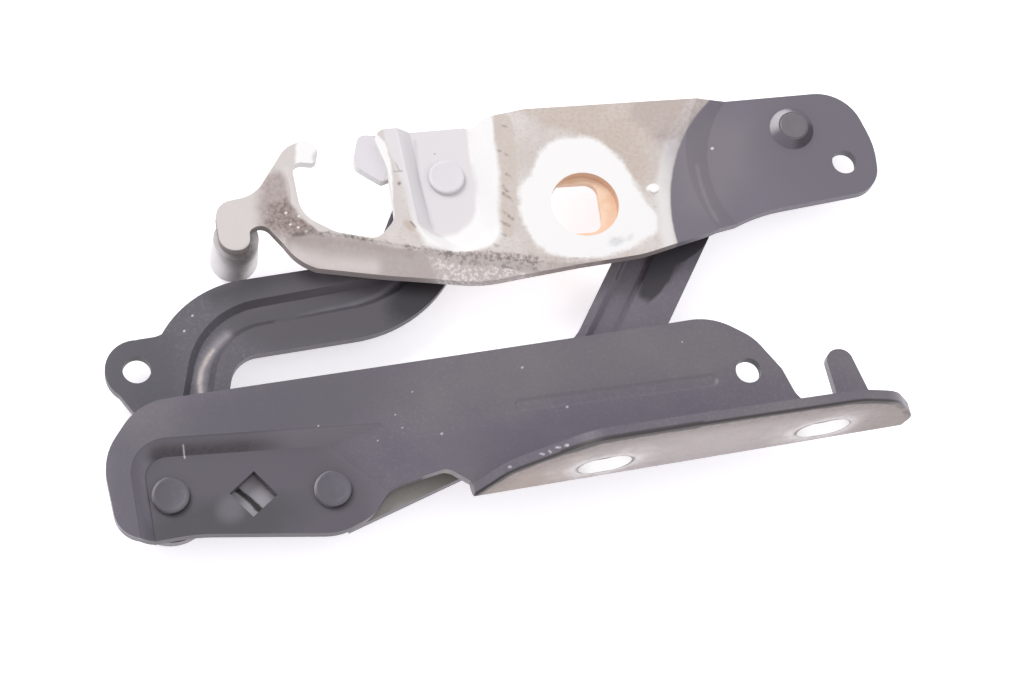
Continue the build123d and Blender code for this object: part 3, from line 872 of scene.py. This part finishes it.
@dataclass
class BodyBracket:
    """The body bracket with its backing plate, stop stud and sleeve."""

    finish: Coat = Coat(
        name="overspray", colour=BEIGE, other=(0.625, 0.585, 0.57), edge=(0.19, 0.165, 0.16), dust=(0.41, 0.355, 0.33),
        roughness=0.74, clouds=70.0, dusty=0.5, edge_shows=0.8, relief_mm=0.05, specular=0.35, tints=BODY_TINTS,
    )
    backing: Plated = Plated("amber_zinc", (0.84, 0.63, 0.48), (0.78, 0.54, 0.38), 0.5, 0.0, 150.0)
    sleeve: Coat = Coat(
        name="sprayed_sleeve", colour=(0.15, 0.13, 0.131), other=(0.21, 0.185, 0.187), edge=(0.2, 0.2, 0.2),
        dust=(0.34, 0.31, 0.31), roughness=0.55, clouds=60.0, dusty=0.3, edge_shows=0.0, tints=SLEEVE_PAINTED_LIGHT,
    )

    def build(self) -> None:
        """Dress the bracket and what is fixed to it."""
        dress("body_bracket", self.finish.build())
        dress("backing_plate", self.backing.build())
        painted = self.sleeve.build()
        dress("stop_sleeve", painted)
        dress("stop_stud", painted)


def dip_coat(name: str, *tints: Tint, **changes: object) -> Coat:
    """Dark dip coat of the hinge.

    Args:
        name: The material's name.
        tints: Layers of colour over it.
        changes: What differs from the usual coat.

    Returns:
        The finish.
    """
    usual = {
        "colour": DIP, "other": (0.150, 0.134, 0.152), "edge": (0.27, 0.25, 0.275), "dust": (0.24, 0.22, 0.24),
        "roughness": 0.42, "clouds": 20.0, "dusty": 0.28, "edge_shows": 0.6, "speck_size": 0.03,
    }
    return Coat(name=name, tints=tints, **(usual | changes))


# Outline round the bonnet bracket's recess, seen along Z
RECESS = ((-172.0, -50.0), (-150.0, -50.0), (-80.0, -56.0), (-70.0, -80.0), (-92.0, -110.0), (-175.0, -110.0))
# The flange's rim from its left foot to its right, seen along Y
FLANGE_RIM = (
    (-59.6, 1.5), (-57.0, 8.0), (-50.5, 19.5), (-43.0, 26.0), (-33.0, 33.0), (-24.0, 37.5), (-14.0, 38.4), (8.0, 37.9),
    (50.0, 35.8), (63.0, 34.6), (72.0, 31.5), (80.0, 26.0), (85.0, 18.0), (89.0, 9.0),
)
BONNET_TINTS = (
    Tint(Oval((-118.0, -58.0, 0.0), (42.0, 15.0, 8.0), turn=8.0, soft=14.0, ragged=2.0, strength=0.75),
        (0.088, 0.081, 0.101), 0.0, Face.FRONT),
    # Recess: painted shade on the floor, painted light that lifts the shaded upper and left walls to the margin's tone,
    # and painted shade on the upper wall towards its foot and along the left wall's foot
    Tint(area((-166.0, -59.0), (-150.0, -60.5), (-104.0, -64.0), (-96.0, -76.0), (-90.0, -84.0), (-92.0, -110.0),
        (-170.0, -110.0), (-170.0, -70.0), soft=16.0, ragged=0.8, high=-2.6, fade=2.0), (0.092, 0.082, 0.103), 0.0,
        Face.FRONT),
    Tint(area(*RECESS, soft=1.0, ragged=0.0, high=-0.3), (0.135, 0.122, 0.145), 0.0, Face.SHADED),
    Tint(area(*RECESS, soft=1.0, ragged=0.9, high=-2.2, fade=1.7), (0.062, 0.055, 0.064), 0.2, Face.SHADED),
    Tint(area((-121.0, -54.0), (-78.0, -54.0), (-78.0, -90.0), (-121.0, -90.0), soft=22.0, high=-0.1),
        (0.172, 0.156, 0.184), 0.0, Face.SHADED),
    Tint(area(*RECESS, soft=1.0, ragged=0.0, high=-0.3), (0.19, 0.174, 0.208), 0.0, Face.RIGHTWARD),
    Tint(Oval((-142.0, -90.0, -5.0), (26.0, 9.0, 6.0), turn=2.0, soft=7.0, strength=0.85), (0.058, 0.054, 0.064), 0.0,
        Face.FRONT),
    Tint(area(*RECESS, soft=1.0, ragged=0.2, high=-4.7, fade=0.25, strength=0.8), (0.06, 0.054, 0.064), 0.0,
        Face.RIGHTWARD),
    Tint(Oval((-167.0, -80.0, 0.0), (8.0, 26.0, 4.0), turn=4.0, soft=8.0, strength=0.6), (0.098, 0.091, 0.116), 0.0,
        Face.FRONT),
    # Painted light: the stiffener's shaded upper wall lightened against its shading
    Tint(line((-38.0, -65.5), (28.0, -67.4), width=3.0, soft=1.0, ragged=0.0, strength=0.8, high=-0.02, fade=0.05),
        (0.185, 0.165, 0.195), 0.0, Face.SHADED),
    Tint(Oval((-10.0, -57.0, 0.0), (60.0, 9.0, 6.0), turn=-2.0, soft=12.0, ragged=3.0, strength=0.45),
        (0.16, 0.146, 0.15), 0.2, Face.FRONT),
    Tint(Oval((-40.0, -80.0, 0.0), (60.0, 8.0, 6.0), turn=2.0, soft=9.0, ragged=3.0, strength=0.5),
        (0.104, 0.095, 0.13), 0.0, Face.FRONT),
    Tint(marks((-105.2, -63.6), (-78.2, -68.8), (-79.6, -64.0), (-72.4, -57.1), (-86.8, -71.3), (21.3, -54.6),
        (-101.0, -88.0), width=0.35, strength=0.8), (0.6, 0.57, 0.6)),
    Tint(marks((-65.8, -73.0), (-22.6, -70.8), (-34.4, -54.7), width=0.75, strength=0.75), (0.52, 0.49, 0.52)),
    # Walls of the square hole: painted highlight on the lower right walls, which face the lamp
    Tint(Oval((-129.5, -81.3, -7.0), (9.5, 9.5, 6.0), soft=0.4, ragged=0.0), (0.62, 0.6, 0.62), 0.2, Face.LIT),
    Tint(Oval((-137.5, -85.0, -5.0), (4.0, 4.5, 3.0), turn=-40.0, soft=5.0, ragged=0.5, strength=0.45),
        (0.2, 0.185, 0.215), 0.0, Face.FRONT),
    Tint(line((-149.2, -62.0), (-149.2, -65.6), width=0.4, soft=0.5, ragged=0.2), (0.5, 0.47, 0.47)),
    # Painted shade: the wall of the small hole darkened nearly to black
    Tint(Ring((41.5, -68.2), 5.4, soft=0.3, ragged=0.0), HOLE_WALL_SHADE, 0.0, Face.EDGE),
    # Contact face of the flange: worn dull metal, dusty and dark under the rim
    Tint(area((-70.0, -80.0), (0.0, -80.0), (95.0, -80.0), (95.0, -120.0), (-70.0, -120.0), soft=1.0, ragged=0.0),
        (0.335, 0.29, 0.285), 0.0, Face.CONTACT, 0.15),
    Tint(Oval((-50.0, FLANGE_Y, 8.0), (22.0, 8.0, 18.0), soft=10.0, ragged=2.5, strength=0.8), (0.36, 0.285, 0.245),
        0.4, Face.CONTACT),
    Tint(Oval((18.0, FLANGE_Y, 14.0), (34.0, 8.0, 14.0), soft=12.0, ragged=3.0, strength=0.7), (0.47, 0.42, 0.415), 0.3,
        Face.CONTACT),
    Tint(line(*FLANGE_RIM, width=13.0, soft=9.0, ragged=2.5, strength=0.8, upright=True), (0.2, 0.165, 0.155), 0.55,
        Face.CONTACT),
    # Painted shadow: a thin dark line along the rim on the contact face, wider along the top
    Tint(line(*FLANGE_RIM, width=3.2, soft=1.6, ragged=0.5, high=-95.2, fade=0.35, upright=True), (0.04, 0.034, 0.037)),
    Tint(line((-33.0, 33.0), (-24.0, 37.5), (-14.0, 38.4), (8.0, 37.9), width=5.4, soft=1.6, ragged=0.9, high=-94.7,
        fade=0.4, upright=True, strength=0.8), (0.04, 0.034, 0.037)),
    Tint(Stroke(lines=(((-41.0, -93.5), (-40.2, -94.2)), ((-38.6, -93.6), (-38.2, -94.3)), ((-36.4, -93.4),
        (-35.4, -93.9)), ((-33.6, -93.9), (-33.2, -94.1)), ((-50.4, -93.8), (-50.0, -94.1))), width=0.5, soft=0.9,
        ragged=0.45, low=14.0), (0.74, 0.73, 0.76), 0.4),
)


def slot_wear(x: float, z: float) -> tuple[Tint, ...]:
    """The worn place that a bolt left round one slot of the flange.

    Args:
        x: Where the slot is along the flange.
        z: Where it is up the flange.

    Returns:
        The layers, from the widest to the wall of the slot.
    """
    at, wall_at = (x, FLANGE_Y, z), (x, FLANGE_Y + 2.0, z)
    return (
        Tint(Oval(at, (17.0, 8.0, 13.0), soft=6.0, ragged=2.5, strength=0.7), (0.56, 0.51, 0.5), 0.35,
            Face.CONTACT),
        Tint(Oval(at, (12.5, 4.0, 10.0), soft=1.4, ragged=0.7), (0.64, 0.6, 0.6), 0.3, Face.CONTACT),
        Tint(Oval(at, (9.8, 4.0, 7.7), soft=0.5, ragged=0.4), (0.2, 0.18, 0.18), 0.2, Face.CONTACT),
        Tint(Oval(wall_at, (10.2, 6.0, 8.4), soft=0.3, ragged=0.0), (0.86, 0.85, 0.85), 0.0, Face.WALL,
            0.2),
    )


@dataclass
class BonnetBracket:
    """The flanged bracket under the bonnet."""

    slots: tuple[Point, ...] = ((-17.5, 12.0), (57.5, 12.0))
    end_wear: Tint = Tint(
        Oval((82.0, FLANGE_Y, 12.0), (13.0, 8.0, 16.0), soft=6.0, ragged=2.0, strength=0.9),
        (0.27, 0.225, 0.215), 0.5, Face.CONTACT,
    )

    @property
    def finish(self) -> Coat:
        """The dip coat with the worn places round the slots."""
        worn = (tint for slot in self.slots for tint in slot_wear(*slot))
        return dip_coat("bonnet_coat", *BONNET_TINTS, *worn, self.end_wear)

    def build(self) -> None:
        """Dress the bracket."""
        dress("bonnet_bracket", self.finish.build())


SWAN_TINTS = (
    # Painted shade: the arm darkened where the body bracket shades it
    Tint(area((-128.0, -2.0), (-60.0, 6.0), (-40.0, 40.0), (-20.0, 20.0), (-50.0, -36.0), (-124.0, -30.0), soft=14.0),
        (0.079, 0.072, 0.086)),
    Tint(Oval((-158.0, -31.0, -12.0), (14.0, 14.0, 8.0), soft=12.0, strength=0.8), (0.072, 0.07, 0.083)),
    # Painted shadow: a dark patch just under the body bracket's lip, and a dark band along the arm's top
    Tint(Oval((-59.5, -17.5, -12.0), (15.0, 7.5, 12.0), turn=38.0, soft=5.0, ragged=0.8, strength=0.9),
        (0.02, 0.018, 0.023)),
    Tint(line((-128.0, -9.0), (-109.5, -5.8), (-91.9, -4.0), (-66.0, -6.0), width=7.0, soft=7.0, ragged=0.8,
        strength=0.75), (0.048, 0.043, 0.05)),
    Tint(line((-120.0, -15.6), (-94.0, -12.8), (-72.0, -9.0), width=1.0, soft=3.0, ragged=0.5, strength=0.5),
        (0.125, 0.11, 0.12)),
    # Painted highlight: the reflection on the groove's inner wall round the lower bend, broad and soft with a beige
    # core
    Tint(line((-139.2, -44.0), (-138.9, -38.0), (-137.4, -33.6), (-134.8, -29.6), (-131.4, -26.0), (-127.4, -23.0),
        width=1.8, soft=4.6, ragged=0.3, strength=0.75), (0.4, 0.37, 0.41), 0.0, Face.ANY, -0.1),
    Tint(line((-139.5, -44.0), (-139.2, -38.0), (-137.8, -33.8), (-135.2, -30.0), (-132.6, -27.4), width=0.9, soft=1.8,
        ragged=0.3, strength=0.85), (0.68, 0.58, 0.53), 0.3),
    # Painted highlight: a faint bluish reflection on the groove's inner wall along the straight run
    Tint(line((-110.0, -21.0), (-94.0, -19.4), (-82.9, -18.6), (-73.7, -16.4), (-66.8, -12.6), width=1.0, soft=2.4,
        ragged=0.3, strength=0.55), (0.2, 0.19, 0.225)),
    Tint(marks((-137.6, -15.0), (-141.2, -19.9), width=0.6), (0.6, 0.58, 0.6)),
    # Painted shade: the wall of the hole darkened nearly to black
    Tint(Ring((-158.8, -30.9), 5.6, soft=0.3, ragged=0.0), HOLE_WALL_SHADE, 0.0, Face.EDGE),
)
CHANNEL_TINTS = (
    # Painted light: the groove's right-facing wall lightened against its shading
    Tint(area((5.0, -10.0), (40.0, -10.0), (20.0, -50.0), (-20.0, -50.0), soft=3.0, ragged=0.0), (0.2, 0.182, 0.215),
        0.0, Face.RIGHTWARD),
    # Painted shadow: the dark hollow under the body bracket, with a dark strip beside it
    Tint(area((24.0, -12.7), (46.7, -9.3), (42.3, -17.3), (31.4, -22.3), (23.4, -29.9), (12.0, -38.2), (15.1, -27.2),
        soft=4.0, ragged=0.9, strength=0.9), (0.026, 0.023, 0.029)),
    Tint(line((14.6, -14.0), (7.6, -24.2), width=0.8, ragged=0.3, strength=0.7), (0.035, 0.031, 0.036)),
    # Pale dust on the face seen through the arch, lightened further as painted light against the shade there
    Tint(area((-96.0, -84.0), (-83.0, -78.0), (-60.0, -78.0), (-60.0, -90.0), (-78.0, -96.0), (-92.0, -98.0), soft=4.0,
        ragged=0.4), (0.33, 0.315, 0.29), 0.1, Face.FRONT),
    Tint(Ring(SQUARE_HOLE, 10.2, soft=1.0, ragged=0.0), (0.36, 0.34, 0.38), 0.0, Face.FRONT),
    # Painted shadow: the dark diagonal seen through the square hole
    Tint(line((-134.5, -76.8), (-131.2, -80.2), (-127.6, -85.6), width=2.0, soft=0.8, ragged=0.5),
        (0.012, 0.011, 0.013), 0.0, Face.FRONT),
)


@dataclass
class Links:
    """The swan neck link and the channel link, with the round end that the square hole shows."""

    tip: Point = SQUARE_HOLE
    eye: Point = CHANNEL_BONNET
    end_r: float = 9.3
    end_sides: int = 64
    eye_r: float = 9.6
    eye_sides: int = 96
    end_top: float = -10.72
    end_bottom: float = -14.58
    swan: Coat = dip_coat(
        "swan_coat", *SWAN_TINTS, colour=(0.094, 0.087, 0.107), other=(0.11, 0.101, 0.123), edge=(0.22, 0.205, 0.225),
    )
    # The channel link's cut edges are dark: painted shade, for the shadow along its lower edge
    channel: Coat = dip_coat(
        "channel_coat", *CHANNEL_TINTS, colour=(0.135, 0.121, 0.152), other=(0.152, 0.138, 0.168),
        edge=(0.11, 0.1, 0.11),
    )

    def build(self) -> None:
        """Dress both links and add the end of the channel link seen through the square hole."""
        dress("swan_neck_link", self.swan.build())
        coat = self.channel.build()
        dress("channel_link", coat)
        self.link_end(coat)

    def link_end(self, material: bpy.types.Material) -> None:
        """Shape the round end that the channel link reaches past its rivet, with a hollow for the link's own eye.

        Args:
            material: Finish of the channel link.
        """
        (tip_x, tip_y), (eye_x, eye_y) = self.tip, self.eye
        thick = (self.end_top - self.end_bottom) * MM
        level = (self.end_top + self.end_bottom) / 2 * MM
        turn = math.atan2(tip_y - eye_y, tip_x - eye_x)
        deselect()
        bpy.ops.mesh.primitive_cylinder_add(vertices=self.end_sides, radius=self.end_r * MM, depth=thick,
                                            location=(0.0, 0.0, 0.0))
        piece = bpy.context.object
        piece.name = piece.data.name = "channel_link_end"
        bpy.ops.object.mode_set(mode="EDIT")
        bpy.ops.mesh.select_all(action="DESELECT")
        bpy.ops.object.mode_set(mode="OBJECT")
        for vertex in piece.data.vertices:
            vertex.select = vertex.co.x < 0.0
        bpy.ops.object.mode_set(mode="EDIT")
        reach = math.hypot(tip_x - eye_x, tip_y - eye_y) * MM
        bpy.ops.transform.translate(value=(-reach, 0.0, 0.0))
        bpy.ops.object.mode_set(mode="OBJECT")
        piece.rotation_euler = (0.0, 0.0, turn)
        piece.location = (tip_x * MM, tip_y * MM, level)
        bpy.ops.object.transform_apply(location=True, rotation=True, scale=True)
        deselect()
        bpy.ops.mesh.primitive_cylinder_add(vertices=self.eye_sides, radius=self.eye_r * MM,
                                            depth=CUTTER_LENGTH * thick, location=(eye_x * MM, eye_y * MM, level))
        cutter = bpy.context.object
        choose(piece)
        bpy.ops.object.modifier_add(type="BOOLEAN")
        piece.modifiers[-1].operation = "DIFFERENCE"
        piece.modifiers[-1].object = cutter
        bpy.ops.object.modifier_apply(modifier=piece.modifiers[-1].name)
        choose(cutter)
        bpy.ops.object.delete()
        choose(piece)
        bpy.ops.object.shade_smooth_by_angle(angle=SMOOTH_ANGLE)
        piece.data.materials.clear()
        piece.data.materials.append(material)
        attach(piece, "channel")


@dataclass
class Rivet:
    """One turned rivet: a dished front head, a shaft and a heavy rounded rear head."""

    name: str
    at: Point
    body: str
    slot: str
    front: tuple[Point, ...]
    shaft_r: float = 5.0
    rear: tuple[Point, ...] = (
        (1.2, -24.15), (2.2, -24.45), (3.0, -24.8), (7.7, -24.8), (8.7, -24.62), (9.5, -24.1), (9.9, -23.4),
        (10.0, -22.6), (10.0, -17.4), (9.8, -17.0), (9.4, -16.8),
    )
    seat_z: float = -16.8
    sides: int = 64

    def build(self, material: bpy.types.Material) -> None:
        """Turn the rivet from its rear end to its front end and put it in place of its node.

        Args:
            material: Its finish.
        """
        profile = [*self.rear, (self.shaft_r, self.seat_z), *self.front]
        x, y = self.at[0] * MM, self.at[1] * MM
        radius, level = profile[0][0] * MM, profile[0][1] * MM
        deselect()
        bpy.ops.mesh.primitive_circle_add(vertices=self.sides, radius=radius, fill_type="NGON", location=(x, y, level))
        piece = bpy.context.object
        piece.name = piece.data.name = f"{self.name}_head_and_shaft"
        bpy.ops.object.mode_set(mode="EDIT")
        bpy.ops.mesh.select_all(action="SELECT")
        for wide, high in profile[1:]:
            rise = high * MM - level
            bpy.ops.mesh.extrude_region_move(TRANSFORM_OT_translate={"value": (0.0, 0.0, rise)})
            grow = wide * MM / radius
            radius, level = wide * MM, high * MM
            if abs(grow - 1.0) > TINY:
                bpy.ops.transform.resize(value=(grow, grow, 1.0), center_override=(x, y, level))
        bpy.ops.mesh.select_all(action="SELECT")
        bpy.ops.mesh.remove_doubles(threshold=TINY)
        bpy.ops.mesh.normals_make_consistent(inside=False)
        bpy.ops.object.mode_set(mode="OBJECT")
        bpy.ops.object.transform_apply(location=True, rotation=True, scale=True)
        bpy.ops.object.shade_smooth_by_angle(angle=SMOOTH_ANGLE)
        piece.data.materials.append(material)
        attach(piece, self.body)
        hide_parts(f"{self.name}_rivet")
        log.info("turned %s", piece.name)


COLLAR_HEAD = (
    (5.0, -2.6), (4.95, -2.2), (4.75, -1.92), (4.4, -1.8), (3.6, -1.8), (2.6, -1.86), (1.6, -1.98), (0.9, -2.1),
)
FLAT_HEAD = (
    (5.0, -5.0), (6.1, -5.0), (6.2, -4.9), (6.2, -3.75), (6.05, -3.4), (5.75, -3.18), (5.35, -3.1), (4.9, -3.12),
    (4.5, -3.19), (3.2, -3.22), (1.2, -3.22),
)


def head_rims(colour: Colour, grain: float, face: Face, **look: float) -> list[Tint]:
    """Painted highlight or painted shade on the rims of the two flat heads in the bonnet bracket, as the colour and
    face choose.

    Args:
        colour: Colour of the rims.
        grain: How broken up they are.
        face: Which side of the heads they lie on.
        look: The rest of their shape.

    Returns:
        One layer for each head.
    """
    heads = (SWAN_BONNET, CHANNEL_BONNET)
    return [Tint(Ring(at, 5.65, band=0.8, **look), colour, grain, face) for at in heads]


@dataclass
class Pivots:
    """The four riveted pivots with their bushes and washers."""

    sprayed: Coat = Coat(
        name="sprayed_rivet", colour=(0.64, 0.62, 0.655), other=(0.68, 0.66, 0.69), edge=(0.5, 0.49, 0.52),
        dust=(0.58, 0.56, 0.6), roughness=0.55, clouds=90.0, dusty=0.2, edge_shows=0.25,
    )
    coated: Coat = dip_coat(
        "coated_rivet",
        Tint(Ring(CHANNEL_BODY, 9.0, soft=0.5, ragged=0.0), (0.152, 0.142, 0.16), 0.1),
        # Painted highlight on the heads' rims that face the lamp, painted shade on those that face away
        *head_rims((0.46, 0.43, 0.44), 0.3, Face.LIT, soft=0.5, ragged=0.15, low=-4.0),
        *head_rims((0.035, 0.031, 0.036), 0.0, Face.LEE, soft=0.6, ragged=0.1, low=-6.0),
        # Painted shade of a facet: the left half of each flat head's top darker
        Tint(Oval((-158.6, -77.7, -3.1), (3.0, 7.0, 2.0), ragged=0.3, strength=0.35),
            (0.075, 0.07, 0.084)),
        Tint(Oval((-106.4, -84.4, -3.1), (3.0, 7.0, 2.0), ragged=0.3, strength=0.35),
            (0.078, 0.072, 0.088)),
        colour=(0.1, 0.093, 0.114), other=(0.112, 0.104, 0.128), clouds=60.0, roughness=0.32, edge_shows=0.3,
        speck_size=0.0, dusty=0.12,
    )
    zinc: Plated = Plated("dull_zinc", (0.32, 0.32, 0.33), (0.24, 0.24, 0.25), 0.42, 0.85)
    bronze: Plated = Plated("bush_bronze", (0.45, 0.33, 0.16), (0.38, 0.27, 0.13), 0.4, 0.9)
    names: tuple[str, ...] = ("swan_body", "channel_body", "swan_bonnet", "channel_bonnet")
    rivets: tuple[Rivet, ...] = (
        Rivet("swan_body", SWAN_BODY, "body", "overspray", FLAT_HEAD),
        Rivet("channel_body", CHANNEL_BODY, "body", "ecoat", COLLAR_HEAD),
        Rivet("swan_bonnet", SWAN_BONNET, "bonnet", "ecoat", FLAT_HEAD),
        Rivet("channel_bonnet", CHANNEL_BONNET, "bonnet", "ecoat", ((3.0, -5.0), *FLAT_HEAD[1:]), 3.0),
    )

    def build(self) -> None:
        """Dress every rivet, bush and washer."""
        sprayed, coated = self.sprayed.build(), self.coated.build()
        zinc, bronze = self.zinc.build(), self.bronze.build()
        for name in self.names:
            dress(f"{name}_rivet", sprayed if name == "swan_body" else coated)
            dress(f"{name}_bush", bronze)
            for washer in ("thrust_washer", "rear_washer"):
                dress(f"{name}_{washer}", zinc)
        for rivet in self.rivets:
            rivet.build(sprayed if rivet.name == "swan_body" else coated)


def size_lists() -> list[list[float]]:
    """The whole object's box as plain lists."""
    low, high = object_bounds()
    return [[float(v) for v in low], [float(v) for v in high]]


def main() -> None:
    """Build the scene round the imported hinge."""
    logging.basicConfig(level=logging.INFO, format="%(name)s: %(message)s")
    before = size_lists()
    Studio(floor_z=before[0][2]).build()
    for assembly in (BodyBracket(), BonnetBracket(), Links(), Pivots()):
        assembly.build()
        log.info("built %s", type(assembly).__name__)


if __name__ == "__main__":
    main()
